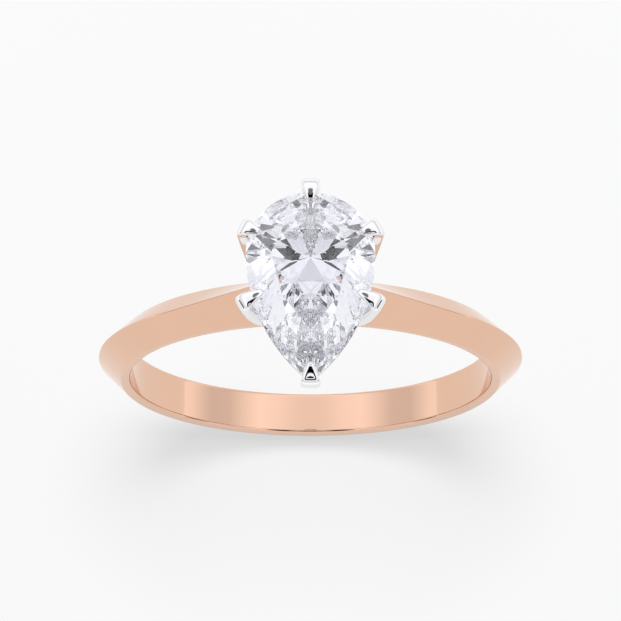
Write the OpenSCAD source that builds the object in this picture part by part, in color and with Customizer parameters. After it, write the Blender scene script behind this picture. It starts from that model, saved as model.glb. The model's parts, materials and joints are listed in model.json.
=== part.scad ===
// Solitaire engagement ring: knife-edge shank with a six-claw head that holds a pear brilliant.
// Origin: centre of the finger bore. +Y runs along the finger, +Z points to the stone.
// The point of the pear faces -Y and its round end faces +Y.

/* [Shank] */
// Inside diameter of the ring, across the finger
bore_d = 17; // [15:0.1:20]
// Width of the band, along the finger
band_w = 2.03; // [1.6:0.01:2.6]
// Thickness of the band at its ridge, at the sides
ridge_t = 1.5; // [1.2:0.05:2]
// Thickness of the flat side wall at the bottom of the band
wall_bottom = 0.64; // [0.5:0.02:0.8]
// Thickness of the flat side wall under the shoulders
wall_top = 0.36; // [0.25:0.02:0.5]
// Height of the straight shoulder line above the finger axis
shoulder_h = 9.83; // [9.6:0.01:10.2]
// Angle from the top of the ring where the shoulders leave the round
shoulder_angle = 42; // [36:1:50]

/* [Stone] */
// Width of the pear
stone_w = 5.54; // [5:0.02:6]
// Distance from the centre of the round end to the point
point_l = 5.77; // [5:0.02:6.4]
// Centre of the round end, along the finger
round_y = 0.75; // [0.5:0.05:1]
// Height of the middle of the girdle above the finger axis
girdle_z = 13; // [12.8:0.05:13.4]
// Thickness of the girdle
girdle_t = 0.18; // [0.1:0.02:0.3]
// Height of the crown above the girdle
crown_h = 0.76; // [0.6:0.02:0.9]
// Depth of the pavilion below the girdle
pavilion_h = 2.42; // [2.2:0.02:2.6]
// Size of the table, as a share of the pear
table_share = 0.56; // [0.5:0.01:0.65]

/* [Head] */
// Half length of the claws' footprint on the base, across the ring
foot_x = 2.02; // [1.8:0.01:2.2]
// Half width of the claws' footprint on the base, along the finger
foot_y = 1.12; // [0.95:0.01:1.3]
// Height of the claws' feet above the finger axis
foot_z = 9.05; // [8.9:0.01:9.3]
// Width of a claw at its shoulder
claw_w = 0.8; // [0.6:0.02:1]
// Thickness of a claw below the stone
claw_t = 0.6; // [0.4:0.02:0.7]
// Gap between the girdle and the middle of a claw
claw_gap = 0.2; // [0.15:0.01:0.3]
// Reach of a claw's point over the stone, from the girdle
claw_reach = 0.36; // [0.25:0.01:0.5]
// Height of the gallery rail above the finger axis
rail_z = 10.55; // [10.3:0.05:10.8]
// Diameter of the gallery rail
rail_d = 0.5; // [0.4:0.02:0.6]

/* [Hidden] */
rose_gold = "#e5b894";
platinum = "#dcdcde";
ice = "#e6e6f2";

bore_r = bore_d / 2;
half_w = band_w / 2;
stone_r = stone_w / 2;

// The flank of the pear is an arc that leaves the round end upright and meets the point.
flank_r = (point_l * point_l + stone_r * stone_r) / (2 * stone_r);
flank_c = flank_r - stone_r;
flank_sweep = asin(point_l / flank_r);

// Angle over which the straight shoulders run into the round ridge, and how far the ridge rises there
shoulder_blend = 36;
ridge_rise = bore_r + ridge_t - shoulder_h;

// Angle from the top where the side wall starts to thicken, and the angle that this takes
wall_from = 60;
wall_span = 100;

// Half the width that the head takes up between the shoulders, as [half width, height]
head_flare = [[1.9, 8.5], [2.22, 9.05], [2.62, 11], [2.8, 14]];

// Size of the gallery rail as a share of the pear, across the ring and along the finger
rail_share_x = 0.84;
rail_share_y = 0.67;
rail_shift = 0.1;

// Turn of a claw over the stone, and the height its middle line climbs above the girdle
fold_turn = 95;
fold_rise = 0.42;

// Bow of a claw's middle line, its width at the foot and the square of its width at the point as
// shares of the full width, and how much of its thickness it loses over the stone
claw_bow = 0.5;
foot_share = 0.75;
point_share = 0.02;
thinning = 0.55;

// Places of the claws round the pear, as its own angle, where 90 is the heel and 270 the point
a_tip = 270;
a_heel = 90;
a_upper = 159;
a_lower = 209;

// Outline of the pear at the angle a: the round end from 0 to 180, the flanks on to the point at 270
function left_side(a) = a <= 270 ? 1 : -1;
function flank_psi(a) = (a <= 270 ? a - 180 : 360 - a) / 90 * flank_sweep;
function pear(a) =
    a <= 180 ? [stone_r * cos(a), round_y + stone_r * sin(a)]
             : [left_side(a) * (flank_c - flank_r * cos(flank_psi(a))),
                round_y - flank_r * sin(flank_psi(a))];

// Outward normal of the pear at the angle a
function pear_n(a) =
    a <= 180 ? [cos(a), sin(a)]
             : a == 270 ? [0, -1]
                        : [-left_side(a) * cos(flank_psi(a)), -sin(flank_psi(a))];

// Rounded box that the claws' feet stand on: the smaller the power, the squarer the box
power_x = 0.4;
power_y = 0.35;
function sgn_pow(v, p) = sign(v) * pow(abs(v), p);
function foot(a) = [foot_x * sgn_pow(cos(a), power_x), foot_y * sgn_pow(sin(a), power_y)];

// Faces of a closed tube made of rings of n points
function tube_faces(rings, n) = concat(
    [for (i = [0 : rings - 2], j = [0 : n - 1])
        [i * n + j, i * n + (j + 1) % n, (i + 1) * n + (j + 1) % n, (i + 1) * n + j]],
    [[for (j = [n - 1 : -1 : 0]) j]],
    [[for (j = [0 : n - 1]) (rings - 1) * n + j]]);

// Faces of a loop made of rings of n points, where the last ring joins the first
function loop_faces(rings, n) =
    [for (i = [0 : rings - 1], j = [0 : n - 1])
        [i * n + j, i * n + (j + 1) % n, ((i + 1) % rings) * n + (j + 1) % n, ((i + 1) % rings) * n + j]];

// Ridge radius of the band at the angle b from the top: a circle, with straight shoulders at the top
function blend(u) = let (v = max(0, min(1, u))) v * v * (3 - 2 * v);
function ridge_r(b) =
    b < shoulder_angle ? shoulder_h / cos(shoulder_angle - b)
                       : shoulder_h + ridge_rise * blend((b - shoulder_angle) / shoulder_blend);
function wall_r(b) = bore_r + wall_top + (wall_bottom - wall_top) * blend((b - wall_from) / wall_span);
function band_point(b, side, r, y) = [side * r * sin(b), y, r * cos(b)];

module finger_bore() {
    through = 40;
    rotate([90, 0, 0]) cylinder(h = through, r = bore_r, center = true, $fn = 180);
}

// The band's outside from one shoulder round the bottom to the other, filled to within the bore
module shank_body() {
    steps = 120;
    b_end = 8;
    core_r = bore_r - 0.5;
    rings = [for (i = [0 : steps])
        let (t = -1 + 2 * i / steps, b = 180 - (180 - b_end) * abs(t), s = t < 0 ? -1 : 1)
        [band_point(b, s, core_r, half_w), band_point(b, s, wall_r(b), half_w),
         band_point(b, s, ridge_r(b), 0),
         band_point(b, s, wall_r(b), -half_w), band_point(b, s, core_r, -half_w)]];
    polyhedron(points = [for (r = rings) each r], faces = tube_faces(steps + 1, 5));
}

// Space that the head takes up between the shoulders
module head_space() {
    depth = 8;
    low = 7;
    last = len(head_flare) - 1;
    right = concat([[head_flare[0][0], low]], head_flare);
    left = [for (i = [last + 1 : -1 : 0]) [-right[i][0], right[i][1]]];
    rotate([90, 0, 0]) linear_extrude(height = depth, center = true) polygon(concat(right, left));
}

module shank() {
    color(rose_gold) difference() {
        shank_body();
        finger_bore();
        head_space();
    }
}

// Block under the stone that carries the claws and closes the ring between the shoulders
module head_base() {
    corner = 0.55;
    length_x = 2.2;
    length_y = 1.4;
    low = 7.9;
    block_h = 1.5;
    color(platinum) difference() {
        intersection() {
            translate([0, 0, low]) linear_extrude(height = block_h) union() {
                square([2 * (length_x - corner), 2 * length_y], center = true);
                square([2 * length_x, 2 * (length_y - corner)], center = true);
                for (x = [-1, 1], y = [-1, 1])
                    translate([x * (length_x - corner), y * (length_y - corner)]) circle(corner, $fn = 48);
            }
            head_space();
        }
        finger_bore();
    }
}

// Wire that follows the pear, smaller than the stone, and ties the claws together
module gallery_rail() {
    steps = 72;
    sides = 12;
    rings = [for (i = [0 : steps - 1])
        let (a = 360 * i / steps, p = pear(a), n = pear_n(a),
             c = [rail_share_x * p[0], rail_shift + rail_share_y * p[1]])
        [for (j = [0 : sides - 1])
            let (q = 360 * j / sides, r = rail_d / 2)
            [c[0] + r * cos(q) * n[0], c[1] + r * cos(q) * n[1], rail_z + r * sin(q)]]];
    color(platinum) polyhedron(points = [for (r = rings) each r], faces = loop_faces(steps, sides));
}

// Middle line of a claw: u from 0 to 1 climbs from the foot to the girdle, and 1 to 2 folds over the stone
function climb(u) = (1 + claw_bow) * u - claw_bow * u * u;
function fold(u) = let (q = fold_turn * (u - 1))
    [claw_gap - (claw_gap + claw_reach) * (1 - cos(q)) / (1 - cos(fold_turn)), fold_rise * sin(q)];
function claw_axis(a, u) =
    let (top = pear(a) + claw_gap * pear_n(a), low = foot(a), k = min(1, u), s = climb(k))
    u <= 1 ? [low[0] + (top[0] - low[0]) * s,
              low[1] + (top[1] - low[1]) * s,
              foot_z + (girdle_z - foot_z) * k]
           : let (f = fold(u), p = pear(a) + f[0] * pear_n(a)) [p[0], p[1], girdle_z + f[1]];
function claw_half_w(u) =
    u <= 1 ? claw_w / 2 * (foot_share + (1 - foot_share) * u)
           : claw_w / 2 * sqrt(max(point_share, 1 - pow(u - 1, 2)));
function claw_half_t(u) = u <= 1 ? claw_t / 2 : claw_t / 2 * (1 - thinning * (u - 1));

module claw(a) {
    sides = 16;
    steps = 18;
    eps = 0.05;
    n = pear_n(a);
    across = [-n[1], n[0], 0];
    rings = [for (i = [0 : steps])
        let (u = 2 * i / steps, c = claw_axis(a, u),
             d = claw_axis(a, min(2, u + eps)) - claw_axis(a, max(0, u - eps)),
             out = cross(across, d), out_n = out / norm(out))
        [for (j = [0 : sides - 1])
            let (q = 360 * (j + 0.5) / sides)
            c + claw_half_w(u) * cos(q) * across + claw_half_t(u) * sin(q) * out_n]];
    color(platinum) difference() {
        polyhedron(points = [for (r = rings) each r], faces = tube_faces(steps + 1, sides));
        claw_seat(a);
    }
}

// V-shaped bearing that a claw is cut with, where the girdle sits
module claw_seat(a) {
    depth = 1.1;
    width = 2;
    n = pear_n(a);
    p = pear(a);
    above = depth * crown_h / (stone_r * (1 - table_share));
    below = depth * pavilion_h / stone_r;
    translate([p[0], p[1], girdle_z])
        rotate([0, 0, atan2(n[1], n[0])]) rotate([90, 0, 0])
            linear_extrude(height = width, center = true)
                polygon([[0, girdle_t / 2], [-depth, girdle_t / 2 + above],
                         [-depth, -girdle_t / 2 - below], [0, -girdle_t / 2]]);
}

// Level slice of the pear, a share of its full size
module pear_plate(share, z, t) {
    middle_y = 0.1;
    translate([0, middle_y * (1 - share), z]) linear_extrude(height = t)
        polygon([for (a = [0 : 7.5 : 352.5]) share * pear(a)]);
}

// Pear brilliant with a table, a girdle and a short keel for its culet
module diamond() {
    low = girdle_z - girdle_t / 2;
    slice = 0.01;
    keel_half_w = 0.02;
    keel_l = 0.9;
    color(ice) hull() {
        pear_plate(1, low, girdle_t);
        pear_plate(table_share, low + girdle_t + crown_h - slice, slice);
        translate([0, 0, low - pavilion_h]) linear_extrude(height = slice)
            polygon([[-keel_half_w, round_y], [0, round_y - keel_l], [keel_half_w, round_y]]);
    }
}

shank();
head_base();
gallery_rail();
claw(a_tip);  // claw_tip
claw(a_heel);  // claw_heel
claw(a_upper);  // claw_upper_left
claw(180 - a_upper);  // claw_upper_right
claw(a_lower);  // claw_lower_left
claw(540 - a_lower);  // claw_lower_right
diamond();
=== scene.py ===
"""Solitaire engagement ring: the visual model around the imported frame.

The ring stands on its band. X runs across the ring, Y along the finger and Z up to the stone.
Shapes are worked out in millimetres, in the frame of the CAD model, and put into meshes in metres.
"""

import json
import math

import bmesh
import bpy
import numpy as np
from bpy.props import FloatProperty, FloatVectorProperty, IntProperty, PointerProperty
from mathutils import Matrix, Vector


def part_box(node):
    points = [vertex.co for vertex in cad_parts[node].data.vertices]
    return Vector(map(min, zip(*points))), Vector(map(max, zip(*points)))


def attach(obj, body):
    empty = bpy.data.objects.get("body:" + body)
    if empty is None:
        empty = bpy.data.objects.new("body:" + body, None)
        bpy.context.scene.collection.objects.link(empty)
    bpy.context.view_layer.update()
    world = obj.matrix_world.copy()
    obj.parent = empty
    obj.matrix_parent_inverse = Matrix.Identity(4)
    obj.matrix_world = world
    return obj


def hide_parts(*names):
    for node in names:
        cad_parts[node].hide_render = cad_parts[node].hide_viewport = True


bl_info = {
    "name": "Solitaire Ring",
    "version": (1, 0, 0),
    "blender": (4, 5, 0),
    "location": "View3D > Sidebar > Ring",
    "description": "Builds a knife-edge solitaire ring with a clawed pear brilliant",
    "category": "Add Mesh",
}

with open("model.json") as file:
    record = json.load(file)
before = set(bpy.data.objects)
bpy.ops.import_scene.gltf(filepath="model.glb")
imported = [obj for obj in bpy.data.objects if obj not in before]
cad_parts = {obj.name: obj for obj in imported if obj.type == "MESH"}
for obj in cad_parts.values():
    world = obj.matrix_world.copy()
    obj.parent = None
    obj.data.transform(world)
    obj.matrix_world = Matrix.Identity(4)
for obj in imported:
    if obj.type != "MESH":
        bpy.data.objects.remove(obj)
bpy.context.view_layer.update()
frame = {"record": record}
MM = 0.001
ROOT = "root"


def span(node, axis):
    """Lowest and highest value of a CAD node along one axis, in millimetres."""
    low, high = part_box(node)
    return low[axis] / MM, high[axis] / MM


BORE_R = frame["record"]["mounts"][0]["dims"]["r_mm"]
BAND_W = span("shank", 1)[1] - span("shank", 1)[0]
RIDGE_R = -span("shank", 2)[0]
STONE_R = span("diamond", 0)[1]
STONE_POINT, STONE_HEEL = span("diamond", 1)
CULET_Z, TABLE_Z = span("diamond", 2)
RAIL_Z = sum(span("gallery_rail", 2)) / 2
RAIL_D = span("gallery_rail", 2)[1] - span("gallery_rail", 2)[0]
ROUND_Y = STONE_HEEL - STONE_R


# ---------------------------------------------------------------- settings


class RingSizes(bpy.types.PropertyGroup):
    """Sizes of the ring in millimetres, where the frame leaves them open."""

    wall_bottom: FloatProperty(
        name="Wall at the bottom", description="Flat side wall at the bottom of the band", default=0.64)
    wall_top: FloatProperty(
        name="Wall at the shoulders", description="Flat side wall under the shoulders", default=0.36)
    shoulder_h: FloatProperty(
        name="Shoulder height", description="From the finger axis to the shoulder line", default=9.83)
    shoulder_angle: FloatProperty(
        name="Shoulder angle", description="From the top to where the shoulders start", default=42.0)
    inner_round: FloatProperty(
        name="Inner edge round", description="Rounding of the edges of the finger bore", default=0.13)
    ridge_round: FloatProperty(
        name="Ridge round", description="Rounding of the knife edge", default=0.07)
    corner_round: FloatProperty(
        name="Corner round", description="Rounding between the side wall and the slope", default=0.05)
    claw_half_w: FloatProperty(
        name="Claw half width", description="Half the width of a claw at its shoulder", default=0.39)
    claw_half_t: FloatProperty(
        name="Claw half thickness", description="Half the thickness of a claw below the stone", default=0.3)
    claw_gap: FloatProperty(
        name="Claw gap", description="From the girdle to the middle of a claw", default=0.2)
    claw_reach: FloatProperty(
        name="Claw reach", description="How far a claw's point lies over the stone", default=0.56)


class StoneSizes(bpy.types.PropertyGroup):
    """Proportions of the pear brilliant."""

    girdle_t: FloatProperty(name="Girdle thickness", description="In millimetres", default=0.16)
    crown_h: FloatProperty(name="Crown height", description="In millimetres", default=0.76)
    table_share: FloatProperty(
        name="Table share", description="Size of the table in the pear", default=0.6)
    star_share: FloatProperty(
        name="Star share", description="Length of the star facets in the crown", default=0.5)
    half_share: FloatProperty(
        name="Lower half share", description="Length of the lower halves", default=0.72)
    girdle_facets: IntProperty(
        name="Girdle facets", description="Flat facets round the girdle", default=96)


class RingColours(bpy.types.PropertyGroup):
    """Colours of the metals, the stone and the stage."""

    rose_gold: FloatVectorProperty(
        name="Rose gold", description="Polished rose gold", subtype="COLOR", size=3,
        default=(0.8, 0.52, 0.375))
    platinum: FloatVectorProperty(
        name="Platinum", description="Polished white metal", subtype="COLOR", size=3,
        default=(0.86, 0.86, 0.865))
    diamond: FloatVectorProperty(
        name="Diamond", description="Tint of the stone", subtype="COLOR", size=3,
        default=(0.93, 0.935, 1.0))
    floor: FloatVectorProperty(
        name="Floor", description="Base colour of the floor, which also glows", subtype="COLOR", size=3,
        default=(0.06, 0.06, 0.06))


# ---------------------------------------------------------------- shared shapes


def smoothstep(u):
    """Smooth blend from 0 to 1."""
    v = np.clip(u, 0, 1)
    return v * v * (3 - 2 * v)


def flank():
    """Radius, centre and sweep of the arc that runs from the pear's widest place to its point.

    The arc leaves the half circle upright, so with half width w and length l its radius r comes
    from (r - w)**2 + l**2 = r**2.
    """
    length = ROUND_Y - STONE_POINT
    radius = (length**2 + STONE_R**2) / (2 * STONE_R)
    return radius, radius - STONE_R, math.asin(length / radius)


def pear(a):
    """Outline of the pear and its outward normal at angle a, in degrees.

    The round end is a half circle from 0 to 180. From 180 to the point at 270, and from there
    back to 360, each flank is an arc that leaves the half circle with no corner. The half circle
    is (R cos a, Y + R sin a), and a flank is (+-(r cos p - c), Y - r sin p).
    """
    a = np.asarray(a, float) % 360
    radius, centre, sweep = flank()
    rad = np.radians(a)
    side = np.where(a <= 270, -1.0, 1.0)
    psi = np.where(a <= 270, a - 180, 360 - a) / 90 * sweep
    round_end = np.stack([STONE_R * np.cos(rad), ROUND_Y + STONE_R * np.sin(rad)], -1)
    flanks = np.stack([side * (radius * np.cos(psi) - centre), ROUND_Y - radius * np.sin(psi)], -1)
    round_n = np.stack([np.cos(rad), np.sin(rad)], -1)
    flank_n = np.stack([side * np.cos(psi), -np.sin(psi)], -1)
    at_point = np.isclose(a, 270)[..., None]
    flank_n = np.where(at_point, np.array([0.0, -1.0]), flank_n)
    on_round = (a <= 180)[..., None]
    return np.where(on_round, round_end, flanks), np.where(on_round, round_n, flank_n)


def grid_mesh(name, rings, closed_along=False, first_cap=True, last_cap=True):
    """Mesh of a grid of rings, shape (rings, points, 3) in millimetres; each ring closes on itself.

    Quads join each ring to the next, and the first and last rings are capped unless the rings
    close on themselves.
    """
    n, m, _ = rings.shape
    rows = np.arange(n if closed_along else n - 1)
    i, j = np.meshgrid(rows, np.arange(m), indexing="ij")
    i2, j2 = (i + 1) % n, (j + 1) % m
    quads = np.stack([i * m + j, i * m + j2, i2 * m + j2, i2 * m + j], -1).reshape(-1, 4)
    faces = quads.tolist()
    if first_cap and not closed_along:
        faces.append(list(range(m - 1, -1, -1)))
    if last_cap and not closed_along:
        faces.append([(n - 1) * m + k for k in range(m)])
    mesh = bpy.data.meshes.new(name)
    mesh.from_pydata((rings.reshape(-1, 3) * MM).tolist(), [], faces)
    mesh.update()
    return mesh


def point_outwards(mesh):
    """Merge doubles and turn every face outwards."""
    bm = bmesh.new()
    bm.from_mesh(mesh)
    bmesh.ops.remove_doubles(bm, verts=bm.verts, dist=1e-8)
    bmesh.ops.recalc_face_normals(bm, faces=bm.faces)
    bm.to_mesh(mesh)
    bm.free()


def make_piece(name, mesh, material, slot, *nodes, smooth=True):
    """Object for a mesh that rides on the ring and stands for the named CAD nodes."""
    point_outwards(mesh)
    mesh.polygons.foreach_set("use_smooth", [smooth] * len(mesh.polygons))
    if smooth:
        mesh.set_sharp_from_angle(angle=math.radians(40))
    mesh.materials.append(material)
    piece = bpy.data.objects.new(name, mesh)
    bpy.context.scene.collection.objects.link(piece)
    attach(piece, ROOT)
    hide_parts(*nodes)
    return piece


# ---------------------------------------------------------------- materials


def new_group(name, inputs, outputs):
    """Empty shader group with float inputs {name: default} and outputs {name: socket type}."""
    group = bpy.data.node_groups.new(name, "ShaderNodeTree")
    for label, default in inputs.items():
        socket = group.interface.new_socket(name=label, in_out="INPUT", socket_type="NodeSocketFloat")
        socket.default_value = default
    for label, kind in outputs.items():
        group.interface.new_socket(name=label, in_out="OUTPUT", socket_type=kind)
    return group, group.nodes.new("NodeGroupInput"), group.nodes.new("NodeGroupOutput")


def polish_group():
    """Hand-polished metal: broad waves in the sheen, fine wheel marks, and a soft tone change."""
    name = "Hand polish"
    if name in bpy.data.node_groups:
        return bpy.data.node_groups[name]
    group, given, out = new_group(
        name,
        {"Mark scale": 900.0, "Mark depth": 0.1, "Base roughness": 0.06, "Roughness spread": 0.03},
        {"Tone": "NodeSocketFloat", "Roughness": "NodeSocketFloat", "Height": "NodeSocketFloat"},
    )
    nodes, links = group.nodes, group.links
    coords = nodes.new("ShaderNodeTexCoord")
    stretch = nodes.new("ShaderNodeMapping")
    stretch.inputs["Scale"].default_value = (1.0, 9.0, 1.0)
    links.new(coords.outputs["Object"], stretch.inputs["Vector"])
    marks = nodes.new("ShaderNodeTexNoise")
    marks.inputs["Detail"].default_value = 6.0
    marks.inputs["Roughness"].default_value = 0.62
    links.new(stretch.outputs["Vector"], marks.inputs["Vector"])
    links.new(given.outputs["Mark scale"], marks.inputs["Scale"])
    broad = nodes.new("ShaderNodeTexNoise")
    broad.inputs["Scale"].default_value = 260.0
    broad.inputs["Detail"].default_value = 3.0
    links.new(coords.outputs["Object"], broad.inputs["Vector"])
    rough = nodes.new("ShaderNodeMath")
    rough.operation = "MULTIPLY_ADD"
    links.new(marks.outputs["Fac"], rough.inputs[0])
    links.new(given.outputs["Roughness spread"], rough.inputs[1])
    links.new(given.outputs["Base roughness"], rough.inputs[2])
    depth = nodes.new("ShaderNodeMath")
    depth.operation = "MULTIPLY"
    links.new(marks.outputs["Fac"], depth.inputs[0])
    links.new(given.outputs["Mark depth"], depth.inputs[1])
    links.new(broad.outputs["Fac"], out.inputs["Tone"])
    links.new(rough.outputs["Value"], out.inputs["Roughness"])
    links.new(depth.outputs["Value"], out.inputs["Height"])
    return group


def set_ramp(ramp, stops):
    """Give a colour ramp its stops, as (position, RGBA) in rising order."""
    elements = ramp.color_ramp.elements
    while len(elements) > 1:
        elements.remove(elements[-1])
    elements[0].position, elements[0].color = stops[0]
    for position, colour in stops[1:]:
        elements.new(position).color = colour


def shade(colour, factor):
    """RGBA of a colour times a factor."""
    return (*(min(1.0, c * factor) for c in colour), 1.0)


def metal_material(name, colour, base_roughness, spread, depth):
    """Polished metal: its tone drifts a little, and wheel marks break up the gloss."""
    material = bpy.data.materials.new(name)
    material.use_nodes = True
    nodes, links = material.node_tree.nodes, material.node_tree.links
    bsdf = nodes["Principled BSDF"]
    bsdf.inputs["Metallic"].default_value = 1.0
    polish = nodes.new("ShaderNodeGroup")
    polish.node_tree = polish_group()
    polish.inputs["Base roughness"].default_value = base_roughness
    polish.inputs["Roughness spread"].default_value = spread
    polish.inputs["Mark depth"].default_value = depth
    ramp = nodes.new("ShaderNodeValToRGB")
    ramp.color_ramp.elements[0].position = 0.3
    ramp.color_ramp.elements[0].color = shade(colour, 0.985)
    ramp.color_ramp.elements[1].position = 0.7
    ramp.color_ramp.elements[1].color = shade(colour, 1.015)
    bump = nodes.new("ShaderNodeBump")
    bump.inputs["Strength"].default_value = 0.25
    bump.inputs["Distance"].default_value = 2e-6
    links.new(polish.outputs["Tone"], ramp.inputs["Fac"])
    links.new(ramp.outputs["Color"], bsdf.inputs["Base Color"])
    links.new(polish.outputs["Roughness"], bsdf.inputs["Roughness"])
    links.new(polish.outputs["Height"], bump.inputs["Height"])
    links.new(bump.outputs["Normal"], bsdf.inputs["Normal"])
    return material


def diamond_material(colour):
    """Clear stone with polished facets; the girdle is left finely frosted."""
    material = bpy.data.materials.new("Diamond")
    material.use_nodes = True
    nodes, links = material.node_tree.nodes, material.node_tree.links
    bsdf = nodes["Principled BSDF"]
    bsdf.inputs["Transmission Weight"].default_value = 1.0
    bsdf.inputs["IOR"].default_value = DIAMOND_IOR
    frost = nodes.new("ShaderNodeAttribute")
    frost.attribute_name = "girdle_frost"
    grain = nodes.new("ShaderNodeTexNoise")
    grain.inputs["Scale"].default_value = 9000.0
    coords = nodes.new("ShaderNodeTexCoord")
    links.new(coords.outputs["Object"], grain.inputs["Vector"])
    rough = nodes.new("ShaderNodeMath")
    rough.operation = "MULTIPLY"
    links.new(frost.outputs["Fac"], rough.inputs[0])
    links.new(grain.outputs["Fac"], rough.inputs[1])
    links.new(rough.outputs["Value"], bsdf.inputs["Roughness"])
    tint = nodes.new("ShaderNodeMix")
    tint.data_type = "RGBA"
    tint.inputs["A"].default_value = shade(colour, 1.0)
    tint.inputs["B"].default_value = shade(colour, 0.94)
    links.new(frost.outputs["Fac"], tint.inputs["Factor"])
    links.new(tint.outputs["Result"], bsdf.inputs["Base Color"])
    return material


# ---------------------------------------------------------------- the band

# Heights in the head, and half the width that it takes up between the shoulders at each
HEAD_HEIGHTS = [8.5, 9.05, 11.0, 14.0]
HEAD_HALVES = [1.9, 2.22, 2.62, 2.8]
# Sweep over which the ridge falls from the shoulders to the round, past the shoulder angle
RIDGE_BLEND = math.radians(36)
# Angle from the top where the side wall starts to grow, and the sweep over which it does
WALL_START = math.radians(60)
WALL_BLEND = math.radians(100)
# Shares of a flat between two rounded corners that get a point of their own
FLAT_SHARES = [0.04, 0.35, 0.65, 0.96]


def head_half(z):
    """Half the width that the head takes up between the shoulders, at height z."""
    return np.interp(z, HEAD_HEIGHTS, HEAD_HALVES)


def fillet(corner, before, after, radius, steps):
    """Rounded corner: a parabola from the line to the corner before, to the line to the one after.

    With u and v the unit directions to the two other corners, it is c + r (u (1 - s)**2 + v s**2).
    """
    u = before - corner
    v = after - corner
    u = u / np.linalg.norm(u, axis=-1, keepdims=True)
    v = v / np.linalg.norm(v, axis=-1, keepdims=True)
    s = np.linspace(0, 1, steps)
    return corner[..., None, :] + radius * (
        u[..., None, :] * ((1 - s) ** 2)[:, None] + v[..., None, :] * (s**2)[:, None])


def band_section(b, sizes):
    """Cross-section of the band at the angles b from the top, as (radius, y) points.

    Flat side walls rise from the bore, two slopes meet in the ridge, and each of the five
    corners is rounded. Over the shoulders the ridge is a straight line, h / cos(turn - b).
    Extra points close to the corners keep the flats flat in the shading.
    """
    turn = math.radians(sizes.shoulder_angle)
    straight = sizes.shoulder_h / np.cos(np.maximum(turn - b, 0))
    rounded = sizes.shoulder_h + (RIDGE_R - sizes.shoulder_h) * smoothstep((b - turn) / RIDGE_BLEND)
    ridge = np.where(b < turn, straight, rounded)
    wall_growth = (sizes.wall_bottom - sizes.wall_top) * smoothstep((b - WALL_START) / WALL_BLEND)
    wall = BORE_R + sizes.wall_top + wall_growth
    bore = np.full_like(b, BORE_R)
    half = np.full_like(b, BAND_W / 2)
    corners = [(bore, half), (wall, half), (ridge, 0 * half), (wall, -half), (bore, -half)]
    corners = np.stack([np.stack(c, -1) for c in corners], -2)
    radii = [
        sizes.inner_round, sizes.corner_round, sizes.ridge_round, sizes.corner_round, sizes.inner_round,
    ]
    arcs = [
        fillet(corners[..., k, :], corners[..., k - 1, :], corners[..., (k + 1) % 5, :], radii[k], 7)
        for k in range(5)
    ]
    points = []
    for k in range(5):
        start = arcs[k][..., -1:, :]
        end = arcs[(k + 1) % 5][..., :1, :]
        points += [arcs[k], start + (end - start) * np.array(FLAT_SHARES)[:, None]]
    return np.concatenate(points, -2)


def shank_rings(sizes, steps=320):
    """Rings of the band: the section is carried round the bore from one shoulder to the other.

    A point (radius, y) of the section goes to (radius sin b, y, radius cos b). Each point stops
    where it meets the head, so the ends are slanted cuts. That place has no formula, so it is
    found in small steps from a first guess.
    """
    m = band_section(np.zeros(1), sizes).shape[-2]
    own = np.arange(m)
    first_guess = 0.25
    end = np.full(m, first_guess)
    for _ in range(30):
        radius = band_section(end, sizes)[own, own, 0]
        end = np.arcsin(head_half(radius * np.cos(end)) / radius)
    t = np.linspace(-1, 1, steps)[:, None]
    b = math.pi - (math.pi - end) * np.abs(t)
    section = band_section(b, sizes)[:, own, own]
    radius, y = section[..., 0], section[..., 1]
    return np.stack([np.sign(t + 1e-9) * radius * np.sin(b), y, radius * np.cos(b)], -1)


class RING_OT_shank(bpy.types.Operator):
    """Build the knife-edge band"""

    bl_idname = "ring.shank"
    bl_label = "Shank"

    def execute(self, context):
        scene = context.scene
        mesh = grid_mesh("shank_polished", shank_rings(scene.ring_sizes))
        material = metal_material(
            "Rose gold", scene.ring_colours.rose_gold, base_roughness=0.05, spread=0.03, depth=0.12)
        make_piece("shank_polished", mesh, material, "rose_gold", "shank")
        return {"FINISHED"}


# ---------------------------------------------------------------- the head

# The base is a rounded box: its power, and the share of its size that the edges round off
BASE_POWER = 0.36
BASE_EDGE = 0.12
# How far the base reaches into the ends of the shoulders, where the two are soldered
BASE_OVERLAP = 0.02
# Share of its full length along the finger that the base has at its foot, and how soon it widens
BASE_FOOT = 0.9
BASE_WIDENING = 1.6


def platinum(context):
    """White metal that the whole head shares."""
    found = bpy.data.materials.get("Platinum")
    return found or metal_material(
        "Platinum", context.scene.ring_colours.platinum, base_roughness=0.04, spread=0.03, depth=0.1)


def signed_power(value, power):
    """The size of a value to a power, with the value's own sign."""
    return np.sign(value) * np.abs(value) ** power


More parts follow.
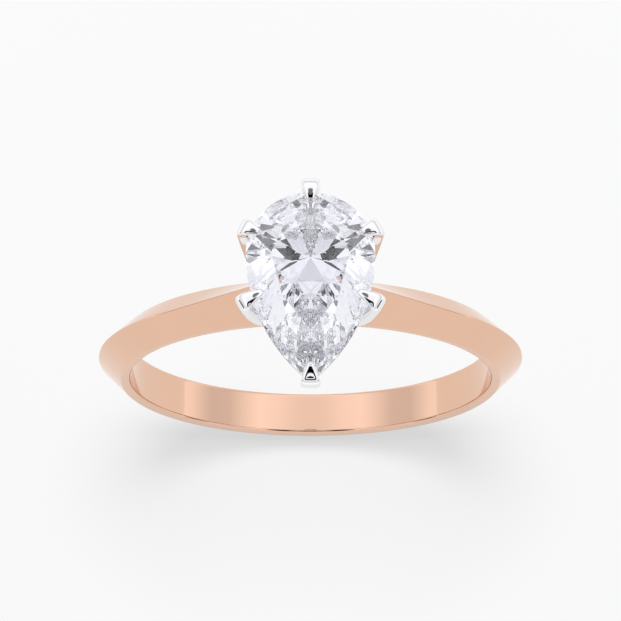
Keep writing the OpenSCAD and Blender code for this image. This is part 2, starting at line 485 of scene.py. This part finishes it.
def head_base_rings():
    """Rings of the block under the stone.

    Its outline is a rounded box, the superellipse (cos(a)**p, sin(a)**p). The rings run from the
    middle of the underside, which lies on the finger bore, out to the edge, up the side, and in
    again over the flat top.
    """
    top = span("head_base", 2)[1]
    half_y = span("head_base", 1)[1]
    a = np.radians(np.arange(0, 360, 3.0))
    box_x = signed_power(np.cos(a), BASE_POWER)
    box_y = signed_power(np.sin(a), BASE_POWER)
    edge = BASE_EDGE
    q = np.radians(np.linspace(0, 90, 7))
    under = [(share, 0.0) for share in (0.02, 0.35, 0.7, 0.9)]
    lower = [(1 - edge * (1 - s), edge * (1 - c)) for s, c in zip(np.sin(q), np.cos(q))]
    sides = [(1.0, level) for level in (0.16, 0.3, 0.5, 0.7, 0.84)]
    upper = [(1 - edge * (1 - c), 1 - edge * (1 - s)) for s, c in zip(np.sin(q), np.cos(q))]
    over = [(share, 1.0) for share in (0.8, 0.5, 0.2, 0.02)]
    rings = []
    for share, level in under + lower + sides + upper + over:
        guess = BORE_R + (top - BORE_R) * level
        half_x = head_half(guess) + BASE_OVERLAP
        x = half_x * box_x * share
        widening = BASE_FOOT + (1 - BASE_FOOT) * smoothstep(level * BASE_WIDENING)
        y = half_y * widening * box_y * share
        floor_z = np.sqrt(BORE_R**2 - x**2)
        rings.append(np.stack([x, y, floor_z + (top - floor_z) * level], -1))
    return np.stack(rings)


class RING_OT_head_base(bpy.types.Operator):
    """Build the block that joins the head to the shoulders"""

    bl_idname = "ring.head_base"
    bl_label = "Head base"

    def execute(self, context):
        mesh = grid_mesh("head_base_polished", head_base_rings())
        make_piece("head_base_polished", mesh, platinum(context), "platinum", "head_base")
        return {"FINISHED"}


def rail_rings(steps=288, sides=28):
    """Rings of the gallery rail: a round wire carried along a smaller pear.

    With the pear's outline p and its normal n, a ring is m + r (n cos q, sin q), where the middle m
    is p scaled in x and in y and moved along y.
    """
    a = np.arange(steps) * 360 / steps
    outline, normal = pear(a)
    low_y, high_y = span("gallery_rail", 1)
    half_x = span("gallery_rail", 0)[1]
    wire = RAIL_D / 2
    share_x = (half_x - wire) / STONE_R
    share_y = (high_y - low_y - 2 * wire) / (STONE_HEEL - STONE_POINT)
    shift_y = high_y - wire - share_y * STONE_HEEL
    middle = np.stack([share_x * outline[:, 0], shift_y + share_y * outline[:, 1]], -1)
    q = np.arange(sides) * 2 * math.pi / sides
    out = (wire * np.cos(q))[None, :, None] * normal[:, None, :]
    z = np.broadcast_to(RAIL_Z + wire * np.sin(q), (steps, sides))
    return np.concatenate([middle[:, None, :] + out, z[..., None]], -1)


class RING_OT_gallery_rail(bpy.types.Operator):
    """Build the wire that ties the claws together"""

    bl_idname = "ring.gallery_rail"
    bl_label = "Gallery rail"

    def execute(self, context):
        mesh = grid_mesh("gallery_rail_polished", rail_rings(), closed_along=True)
        make_piece("gallery_rail_polished", mesh, platinum(context), "platinum", "gallery_rail")
        return {"FINISHED"}


# Place of each claw on the pear, its turn from the pear's own normal and its first bend, all in
# degrees, then how far it stands out and how far it reaches in
CLAWS = {
    "claw_tip": (270.0, 0.0, 63.0, -0.24, 0.2),
    "claw_heel": (90.0, 0.0, 79.0, 0.14, 0.0),
    "claw_upper_left": (159.0, -4.0, 76.0, 0.02, 0.0),
    "claw_upper_right": (21.0, 4.0, 76.0, 0.02, 0.0),
    "claw_lower_left": (209.0, 14.0, 75.0, 0.2, 0.0),
    "claw_lower_right": (331.0, -14.0, 75.0, 0.2, 0.0),
}
# The claws stand on a rounded box: its height, its two half sizes and its two powers
FOOT_Z = 9.05
FOOT_HALF_X = 2.02
FOOT_HALF_Y = 1.12
FOOT_POWER_X = 0.4
FOOT_POWER_Y = 0.35
# Depth below the table where a claw starts to fold over the stone
FOLD_DROP = 0.87
# Shares of the fold where the first bend ends, the slow turn starts and ends, and the end turn starts
BEND_END = 0.34
SLOW_START = 0.3
SLOW_END = 0.9
END_START = 0.75
SLOW_TURN = math.radians(14)
END_TURN = math.radians(45)
# Share of the fold where a claw starts to close into its round point, and the least that it closes to
CLOSE_START = 0.86
LEAST_CLOSED = 0.02
# How far the middle line of a claw bows out between its foot and the girdle
BOW = 0.5
# Width of a claw at its foot, as a share of its width at the girdle
FOOT_SHARE = 0.8
# Shares of its width and its thickness that a claw loses on its way to the point
WIDTH_LOSS = 0.8
THICKNESS_LOSS = 0.55
SQUARENESS = 3.6
# How much wider a claw is on its outer side than in its middle
WEDGE = 0.2


def claw_foot(a):
    """Where a claw stands on the base: a point of a rounded box, at the angle a in radians."""
    x = FOOT_HALF_X * signed_power(math.cos(a), FOOT_POWER_X)
    y = FOOT_HALF_Y * signed_power(math.sin(a), FOOT_POWER_Y)
    return np.array([x, y])


def claw_fold(share, bend):
    """Path of a claw over the stone, as its way in and its way up for shares 0 to 1 of its length.

    Its heading, measured from upright, makes most of its turn in the first third, rises slowly
    along the crown and dips at the point. Both ways are sums of small steps along the heading,
    scaled so that the whole way in is 1.
    """
    first = math.radians(bend) * smoothstep(share / BEND_END)
    slow = SLOW_TURN * np.clip((share - SLOW_START) / (SLOW_END - SLOW_START), 0, 1)
    last = END_TURN * smoothstep((share - END_START) / (1 - END_START))
    heading = first + slow + last
    step = np.diff(share, prepend=0)
    way_in = np.cumsum(np.sin(heading) * step)
    way_up = np.cumsum(np.cos(heading) * step)
    return way_in / way_in[-1], way_up / way_in[-1]


def claw_rings(angle, turn, bend, stand_out, reach_in, sizes, steps=120, sides=44):
    """Rings of one claw, a rounded bar that climbs from the base and folds over the stone.

    Up to the girdle its middle line bows outwards from the foot, and from there it follows
    claw_fold. The section is a superellipse, (w cos(t)**(2/n), h sin(t)**(2/n)), wider on its
    outer side, that tapers to a soft point.
    """
    start_z = TABLE_Z - FOLD_DROP
    outline, normal = pear(angle)
    cos, sin = math.cos(math.radians(turn)), math.sin(math.radians(turn))
    normal = np.array([[cos, -sin], [sin, cos]]) @ normal
    foot = claw_foot(math.radians(angle))
    u = np.linspace(0, 2, steps)
    climb = np.clip(u, 0, 1)
    fold = np.clip(u - 1, 0, 1)
    gap = sizes.claw_gap + stand_out
    reach = gap + sizes.claw_reach + reach_in
    way_in, way_up = claw_fold(fold, bend)
    top = outline + gap * normal
    bow = ((1 + BOW) * climb - BOW * climb**2)[:, None]
    plan = foot + (top - foot) * bow - (reach * way_in)[:, None] * normal
    z = FOOT_Z + (start_z - FOOT_Z) * climb + reach * way_up
    middle = np.concatenate([plan, z[:, None]], -1)
    along = np.gradient(middle, axis=0)
    across = np.array([-normal[1], normal[0], 0.0])
    out = np.cross(np.broadcast_to(across, along.shape), along)
    out /= np.linalg.norm(out, axis=-1, keepdims=True)
    closing = np.clip((fold - CLOSE_START) / (1 - CLOSE_START), 0, 1)
    ending = np.sqrt(np.clip(1 - closing**2, LEAST_CLOSED**2, 1))
    growth = FOOT_SHARE + (1 - FOOT_SHARE) * climb
    half_w = sizes.claw_half_w * growth * (1 - WIDTH_LOSS * way_in) * ending
    half_t = sizes.claw_half_t * (1 - THICKNESS_LOSS * way_in) * ending
    t = np.arange(sides) * 2 * math.pi / sides
    wide = signed_power(np.cos(t), 2 / SQUARENESS)
    thick = signed_power(np.sin(t), 2 / SQUARENESS)
    outer = np.sign(out @ np.array([*normal, 0.5]))[:, None]
    wide = wide * (1 + WEDGE * thick * outer)
    return (middle[:, None, :]
            + (half_w[:, None] * wide)[..., None] * across
            + (half_t[:, None] * thick)[..., None] * out[:, None, :])


class RING_OT_claws(bpy.types.Operator):
    """Build the claws that hold the stone"""

    bl_idname = "ring.claws"
    bl_label = "Claws"

    def execute(self, context):
        for node, place in CLAWS.items():
            rings = claw_rings(*place, context.scene.ring_sizes)
            mesh = grid_mesh(node + "_polished", rings)
            make_piece(node + "_polished", mesh, platinum(context), "platinum", node)
        return {"FINISHED"}


# ---------------------------------------------------------------- the stone

# The keel's steep tier reaches this far under the girdle, with this mean slope in degrees
TIER_DEPTH = 0.55
MEAN_STEEP = 45.5
# Slopes in degrees that the facets of the two tiers take in turn
STEEP_SLOPES = [45.0, 46.5]
GENTLE_SLOPES = [38.5, 39.7, 40.9]
# Where the keel's facets start on the pear, and the step between them, in degrees
KEEL_START = 212.0
KEEL_STEP = 8.0
# How far the table lies towards the round end, for each share that it is smaller than the pear
TABLE_SHIFT = 0.15
DIAMOND_IOR = 2.417


def plane_through(p, q, r):
    """Plane through three points, as a point and a unit normal away from the stone's middle."""
    normal = np.cross(q - p, r - p)
    normal = normal / np.linalg.norm(normal)
    middle = np.array([0.0, 0.0, TABLE_Z - 1.0])
    return p, normal if normal @ (p - middle) > 0 else -normal


def line_of_planes(first, second):
    """A point and a direction of the line where two planes meet."""
    direction = np.cross(first[1], second[1])
    matrix = np.stack([first[1], second[1], direction])
    point = np.linalg.solve(matrix, [first[1] @ first[0], second[1] @ second[0], 0.0])
    return point, direction / np.linalg.norm(direction)


def at_height(line, z):
    """The point of a line at height z."""
    point, direction = line
    return point + direction * (z - point[2]) / direction[2]


def slope_plane(a, z, degrees, depth):
    """Pavilion plane along the girdle at the angle a, with the given slope.

    It takes over from a steeper plane at the given depth under the girdle.
    """
    rim, normal = pear(a)
    tilt = math.radians(degrees)
    at = rim - normal * depth / math.tan(math.radians(MEAN_STEEP))
    return np.array([*at, z - depth]), np.array([*(normal * math.sin(tilt)), -math.cos(tilt)])


def facet_ring(angles, level, tip_z, aim_points, half_share):
    """Mains of one side of the stone and the pairs of halves between them.

    Each main lies along the girdle and leads to its aim point. A pair of halves is laid through
    the girdle, from a main to half way to the next, and a place on the edge the mains share.
    """
    rim, normal = pear(angles)
    step = np.diff(np.append(angles, angles[0] + 360))
    half_rim, _ = pear(angles + step / 2)
    mains = []
    for k in range(len(angles)):
        at = np.array([*rim[k], level])
        side = np.array([-normal[k][1], normal[k][0], 0.0])
        mains.append(plane_through(at, at + side, aim_points[k]))
    halves = []
    for k in range(len(angles)):
        n = (k + 1) % len(angles)
        edge = line_of_planes(mains[k], mains[n])
        meeting = at_height(edge, level + half_share * (tip_z - level))
        middle = np.array([*half_rim[k], level])
        for corner in (rim[k], rim[n]):
            halves.append(plane_through(np.array([*corner, level]), middle, meeting))
    return mains, halves


def stone_cuts(sizes):
    """Planes that a cutter would grind: the mains, stars and halves of the crown and the pavilion.

    Towards the point the pavilion mains would fall too gently to the culet and let light through.
    So there two tiers of facets, a steep one and a gentler one, meet in a rising keel.
    """
    crown_z = TABLE_Z - sizes.crown_h
    pavilion_z = crown_z - sizes.girdle_t
    shift = TABLE_SHIFT * (1 - sizes.table_share)
    crown_angles = np.array([0.0, 45.0, 90.0, 135.0, 180.0, 225.0, 270.0, 315.0])
    rim, _ = pear(crown_angles)
    table_rim = sizes.table_share * rim + np.array([0.0, shift])
    table = np.concatenate([table_rim, np.full((8, 1), TABLE_Z)], -1)
    crown, upper = facet_ring(crown_angles, crown_z, TABLE_Z, table, sizes.star_share)
    stars = []
    for k in range(8):
        n = (k + 1) % 8
        edge = line_of_planes(crown[k], crown[n])
        meeting = at_height(edge, TABLE_Z - sizes.star_share * sizes.crown_h)
        stars.append(plane_through(table[k], table[n], meeting))
    culet = np.array([0.0, ROUND_Y, CULET_Z])
    round_angles = np.array([0.0, 45.0, 90.0, 135.0, 180.0, 206.0, 334.0])
    mains, lower = facet_ring(round_angles, pavilion_z, CULET_Z, [culet] * 7, sizes.half_share)
    # The halves between the last two mains would cross the point, where the keel is
    lower = [p for k, p in enumerate(lower) if k // 2 != 5]
    keel = []
    for k, a in enumerate(np.arange(KEEL_START, 270.0, KEEL_STEP)):
        for angle in (a, 540 - a):
            keel.append(slope_plane(angle, pavilion_z, STEEP_SLOPES[k % 2], 0.0))
        between = a + KEEL_STEP / 2
        for angle in (between, 540 - between):
            keel.append(slope_plane(angle, pavilion_z, GENTLE_SLOPES[k % 3], TIER_DEPTH))
    return crown + upper + stars + mains + lower + keel


def stone_mesh(sizes):
    """The pear brilliant: a pear-shaped rough that is cut by one plane after another.

    The rough has as many flat sides as the girdle has facets. Each cut drops what lies outside and
    closes the new face.
    """
    a = np.arange(sizes.girdle_facets) * 360 / sizes.girdle_facets
    outline, _ = pear(a)
    levels = [CULET_Z - 0.2, TABLE_Z]
    rough = np.stack([np.concatenate([outline, np.full((len(a), 1), z)], -1) for z in levels])
    bm = bmesh.new()
    mesh = grid_mesh("diamond_cut", rough)
    bm.from_mesh(mesh)
    bmesh.ops.scale(bm, vec=(1 / MM,) * 3, verts=bm.verts)
    for point, normal in stone_cuts(sizes):
        geometry = bm.verts[:] + bm.edges[:] + bm.faces[:]
        cut = bmesh.ops.bisect_plane(
            bm, geom=geometry, dist=2e-4, plane_co=point, plane_no=normal, clear_outer=True)
        edges = [e for e in cut["geom_cut"] if isinstance(e, bmesh.types.BMEdge) and e.is_boundary]
        if edges:
            bmesh.ops.holes_fill(bm, edges=edges, sides=0)
    bmesh.ops.dissolve_degenerate(bm, dist=1e-3, edges=bm.edges)
    bmesh.ops.scale(bm, vec=(MM,) * 3, verts=bm.verts)
    bm.to_mesh(mesh)
    bm.free()
    return mesh


class RING_OT_diamond(bpy.types.Operator):
    """Cut the pear brilliant"""

    bl_idname = "ring.diamond"
    bl_label = "Diamond"

    def execute(self, context):
        mesh = stone_mesh(context.scene.stone_sizes)
        material = diamond_material(context.scene.ring_colours.diamond)
        piece = make_piece("diamond_cut", mesh, material, "diamond", "diamond", smooth=False)
        frost = piece.data.attributes.new("girdle_frost", "FLOAT", "FACE")
        upright = [1.0 if abs(f.normal.z) < 0.02 else 0.0 for f in piece.data.polygons]
        frost.data.foreach_set("value", upright)
        return {"FINISHED"}


# ---------------------------------------------------------------- the stage

VIEW_TILT = math.radians(71.29)
VIEW_DISTANCE = 15 * BORE_R
AIM_UP = 0.286 * BORE_R
LENS = 156.4
# Tone of the room at rising shares of the way from level to straight up
WALL_TONES = [
    (0.0, 0.86), (0.1, 0.84), (0.35, 0.6), (0.55, 0.62),
    (0.8, 0.93), (0.9, 0.88), (0.96, 0.78), (1.0, 0.84),
]
ROOM_LIGHT = 1.35
# Grey rings round a direction of the room, as (degrees from it, tone)
LENS_RINGS = [(0, 0.0), (7, 0.0), (8, 1.0), (13, 1.0), (15, 0.0), (27, 0.0), (29, 1.0)]
SIDE_RINGS = [(0, 0.1), (11, 0.1), (14, 1.0)]
ROOM_PATTERNS = [
    ((0.0, -math.cos(VIEW_TILT), math.sin(VIEW_TILT)), LENS_RINGS),
    ((-0.93, -0.32, 0.08), SIDE_RINGS),
    ((0.93, -0.32, 0.08), SIDE_RINGS),
]
CARD_DISTANCE = 32.0
CARD_RADIUS = 3.5
CARD_GLOW = 0.2
CARD_SHIFT = 0.4
# The floor glows alike out to the first radius in metres, and then a little more up to the second
FLOOR_GLOW = 10.6
FAR_GLOW = 1.08
FAR_RADII = (0.026, 0.08)
# Extra glow of the floor towards the horizon, where it meets the bright foot of the room
HORIZON_GLOW = 8.5
HORIZON_RADII = (0.05, 0.5)
LAMP_POWER = 4.9
LAMP_SIZE = 0.2
LAMP_PLACE = (0.0, 0.062, 0.3)
MOST_BOUNCES = 80


def ring_pattern(nodes, links, coords, direction, rings):
    """Grey rings round a direction of the room, as (degrees from it, tone) in rising order."""
    dot = nodes.new("ShaderNodeVectorMath")
    dot.operation = "DOT_PRODUCT"
    dot.inputs[1].default_value = Vector(direction).normalized()
    links.new(coords.outputs["Generated"], dot.inputs[0])
    angle = nodes.new("ShaderNodeMath")
    angle.operation = "ARCCOSINE"
    links.new(dot.outputs["Value"], angle.inputs[0])
    share = nodes.new("ShaderNodeMath")
    share.operation = "DIVIDE"
    share.inputs[1].default_value = math.pi
    links.new(angle.outputs["Value"], share.inputs[0])
    tones = nodes.new("ShaderNodeValToRGB")
    set_ramp(tones, [(degrees / 180, (tone, tone, tone, 1.0)) for degrees, tone in rings])
    links.new(share.outputs["Value"], tones.inputs["Fac"])
    return tones.outputs["Color"]


def build_world():
    """Soft white room, darker part way up than at its foot and its top.

    Round the line of sight it has a dark middle and a dark ring, as a lens and its hood leave in a
    light tent. Two dark cards stand low at the sides, where they draw a fine line along the ridge
    of the band.
    """
    world = bpy.data.worlds.new("Light tent")
    world.use_nodes = True
    bpy.context.scene.world = world
    nodes, links = world.node_tree.nodes, world.node_tree.links
    background = nodes["Background"]
    coords = nodes.new("ShaderNodeTexCoord")
    height = nodes.new("ShaderNodeSeparateXYZ")
    links.new(coords.outputs["Generated"], height.inputs["Vector"])
    walls = nodes.new("ShaderNodeValToRGB")
    set_ramp(walls, [(rise, (tone, tone, min(1.0, tone * 1.03), 1.0)) for rise, tone in WALL_TONES])
    links.new(height.outputs["Z"], walls.inputs["Fac"])
    colour = walls.outputs["Color"]
    for direction, rings in ROOM_PATTERNS:
        pattern = ring_pattern(nodes, links, coords, direction, rings)
        tent = nodes.new("ShaderNodeMix")
        tent.data_type = "RGBA"
        tent.blend_type = "MULTIPLY"
        tent.inputs["Factor"].default_value = 1.0
        links.new(colour, tent.inputs["A"])
        links.new(pattern, tent.inputs["B"])
        colour = tent.outputs["Result"]
    links.new(colour, background.inputs["Color"])
    background.inputs["Strength"].default_value = ROOM_LIGHT


def build_floor(colour):
    """Wide pale floor that the band stands on, a disc of rings that grow outwards.

    Most of its light is its own glow, so that the lamp's shade on it stays soft and pale.
    """
    radii = np.array([0.5, 5.0, 20.0, 80.0, 400.0, 4000.0])
    a = np.radians(np.arange(360, 0, -5.0))
    circle = np.stack([np.cos(a), np.sin(a)], -1)
    level = -RIDGE_R
    rings = np.stack([np.concatenate([r * circle, np.full((len(a), 1), level)], -1) for r in radii])
    mesh = grid_mesh("floor", rings, last_cap=False)
    material = bpy.data.materials.new("Floor")
    material.use_nodes = True
    nodes, links = material.node_tree.nodes, material.node_tree.links
    bsdf = nodes["Principled BSDF"]
    bsdf.inputs["Specular IOR Level"].default_value = 0.0
    bsdf.inputs["Roughness"].default_value = 0.9
    noise = nodes.new("ShaderNodeTexNoise")
    noise.inputs["Scale"].default_value = 40.0
    coords = nodes.new("ShaderNodeTexCoord")
    links.new(coords.outputs["Object"], noise.inputs["Vector"])
    ramp = nodes.new("ShaderNodeValToRGB")
    ramp.color_ramp.elements[0].color = shade(colour, 0.998)
    ramp.color_ramp.elements[1].color = shade(colour, 1.002)
    links.new(noise.outputs["Fac"], ramp.inputs["Fac"])
    links.new(ramp.outputs["Color"], bsdf.inputs["Base Color"])
    links.new(ramp.outputs["Color"], bsdf.inputs["Emission Color"])
    reach = nodes.new("ShaderNodeVectorMath")
    reach.operation = "LENGTH"
    links.new(coords.outputs["Object"], reach.inputs[0])
    glow = nodes.new("ShaderNodeMapRange")
    glow.inputs["From Min"].default_value = FAR_RADII[0]
    glow.inputs["From Max"].default_value = FAR_RADII[1]
    glow.inputs["To Min"].default_value = FLOOR_GLOW
    glow.inputs["To Max"].default_value = FLOOR_GLOW * FAR_GLOW
    links.new(reach.outputs["Value"], glow.inputs["Value"])
    horizon = nodes.new("ShaderNodeMapRange")
    horizon.interpolation_type = "SMOOTHSTEP"
    horizon.inputs["From Min"].default_value = HORIZON_RADII[0]
    horizon.inputs["From Max"].default_value = HORIZON_RADII[1]
    horizon.inputs["To Min"].default_value = 0.0
    horizon.inputs["To Max"].default_value = HORIZON_GLOW
    links.new(reach.outputs["Value"], horizon.inputs["Value"])
    total = nodes.new("ShaderNodeMath")
    links.new(glow.outputs["Result"], total.inputs[0])
    links.new(horizon.outputs["Result"], total.inputs[1])
    links.new(total.outputs["Value"], bsdf.inputs["Emission Strength"])
    mesh.materials.append(material)
    floor = bpy.data.objects.new("floor", mesh)
    bpy.context.scene.collection.objects.link(floor)
    return floor


def build_lamp(floor):
    """Round soft lamp above the ring. It lights the floor only, and the band shades it."""
    lamp_data = bpy.data.lights.new("Lamp", "AREA")
    lamp_data.shape = "DISK"
    lamp_data.size = LAMP_SIZE
    lamp_data.energy = LAMP_POWER
    lamp = bpy.data.objects.new("Lamp", lamp_data)
    lamp.location = LAMP_PLACE
    lamp.rotation_euler = (-math.atan2(LAMP_PLACE[1], LAMP_PLACE[2]), 0.0, 0.0)
    bpy.context.scene.collection.objects.link(lamp)
    lit = bpy.data.collections.new("Lit by the lamp")
    lit.objects.link(floor)
    lamp.light_linking.receiver_collection = lit
    shading = bpy.data.collections.new("Shades the lamp")
    shading.objects.link(bpy.data.objects["shank_polished"])
    lamp.light_linking.blocker_collection = shading


def build_card():
    """Dark disc over the stone that only mirrors see.

    It hangs square to the line of sight as the table mirrors it, so the table throws no white back,
    and the level tops of the claws show it as a dark mark.
    """
    a = np.radians(np.arange(0, 360, 5.0))
    sight = np.array([0.0, math.cos(VIEW_TILT), math.sin(VIEW_TILT)])
    side = np.array([1.0, 0.0, 0.0])
    rise = np.cross(sight, side)
    stone_middle = np.array([0.0, (STONE_POINT + STONE_HEEL) / 2 - CARD_SHIFT, TABLE_Z])
    centre = stone_middle + CARD_DISTANCE * sight
    circle = np.cos(a)[:, None] * side + np.sin(a)[:, None] * rise
    rings = np.stack([centre + radius * circle for radius in (0.01, CARD_RADIUS)])
    mesh = grid_mesh("card", rings, last_cap=False)
    material = bpy.data.materials.new("Dark card")
    material.use_nodes = True
    bsdf = material.node_tree.nodes["Principled BSDF"]
    bsdf.inputs["Base Color"].default_value = (0.0, 0.0, 0.0, 1.0)
    bsdf.inputs["Specular IOR Level"].default_value = 0.0
    bsdf.inputs["Emission Color"].default_value = (1.0, 1.0, 1.0, 1.0)
    bsdf.inputs["Emission Strength"].default_value = CARD_GLOW
    mesh.materials.append(material)
    card = bpy.data.objects.new("card", mesh)
    bpy.context.scene.collection.objects.link(card)
    card.visible_camera = False
    card.visible_diffuse = False
    card.visible_transmission = False
    card.visible_shadow = False


def build_camera():
    """Long lens that looks down at the stone from the front."""
    up = Vector((0, math.sin(VIEW_TILT), math.cos(VIEW_TILT)))
    forward = Vector((0, math.cos(VIEW_TILT), -math.sin(VIEW_TILT)))
    camera_data = bpy.data.cameras.new("Camera")
    camera_data.lens = LENS
    camera_data.sensor_width = 36.0
    camera_data.clip_start = 0.001
    camera_data.clip_end = 20.0
    camera = bpy.data.objects.new("Camera", camera_data)
    camera.location = (AIM_UP * up - VIEW_DISTANCE * forward) * MM
    camera.rotation_euler = forward.to_track_quat("-Z", "Y").to_euler()
    bpy.context.scene.collection.objects.link(camera)
    bpy.context.scene.camera = camera


class RING_OT_stage(bpy.types.Operator):
    """Set the floor, the light and the camera"""

    bl_idname = "ring.stage"
    bl_label = "Stage"

    def execute(self, context):
        build_world()
        build_lamp(build_floor(context.scene.ring_colours.floor))
        build_card()
        build_camera()
        scene = context.scene
        scene.view_settings.view_transform = "Standard"
        scene.cycles.max_bounces = MOST_BOUNCES
        scene.cycles.transmission_bounces = MOST_BOUNCES
        scene.cycles.glossy_bounces = MOST_BOUNCES
        scene.cycles.caustics_refractive = True
        scene.cycles.caustics_reflective = True
        return {"FINISHED"}


# ---------------------------------------------------------------- the add-on


class RING_PT_panel(bpy.types.Panel):
    """Sidebar panel that lists the pieces"""

    bl_idname = "RING_PT_panel"
    bl_label = "Solitaire ring"
    bl_space_type = "VIEW_3D"
    bl_region_type = "UI"
    bl_category = "Ring"

    def draw(self, context):
        for operator in OPERATORS:
            self.layout.operator(operator.bl_idname)


SETTINGS = {"ring_sizes": RingSizes, "stone_sizes": StoneSizes, "ring_colours": RingColours}
OPERATORS = [
    RING_OT_shank, RING_OT_head_base, RING_OT_gallery_rail,
    RING_OT_claws, RING_OT_diamond, RING_OT_stage,
]


def register():
    for cls in [*SETTINGS.values(), *OPERATORS, RING_PT_panel]:
        bpy.utils.register_class(cls)
    for name, cls in SETTINGS.items():
        setattr(bpy.types.Scene, name, PointerProperty(type=cls))


def unregister():
    for name in SETTINGS:
        delattr(bpy.types.Scene, name)
    for cls in [RING_PT_panel, *OPERATORS, *SETTINGS.values()]:
        bpy.utils.unregister_class(cls)


def main():
    register()
    bpy.ops.ring.shank()
    bpy.ops.ring.head_base()
    bpy.ops.ring.gallery_rail()
    bpy.ops.ring.claws()
    bpy.ops.ring.diamond()
    bpy.ops.ring.stage()


if __name__ == "__main__":
    main()
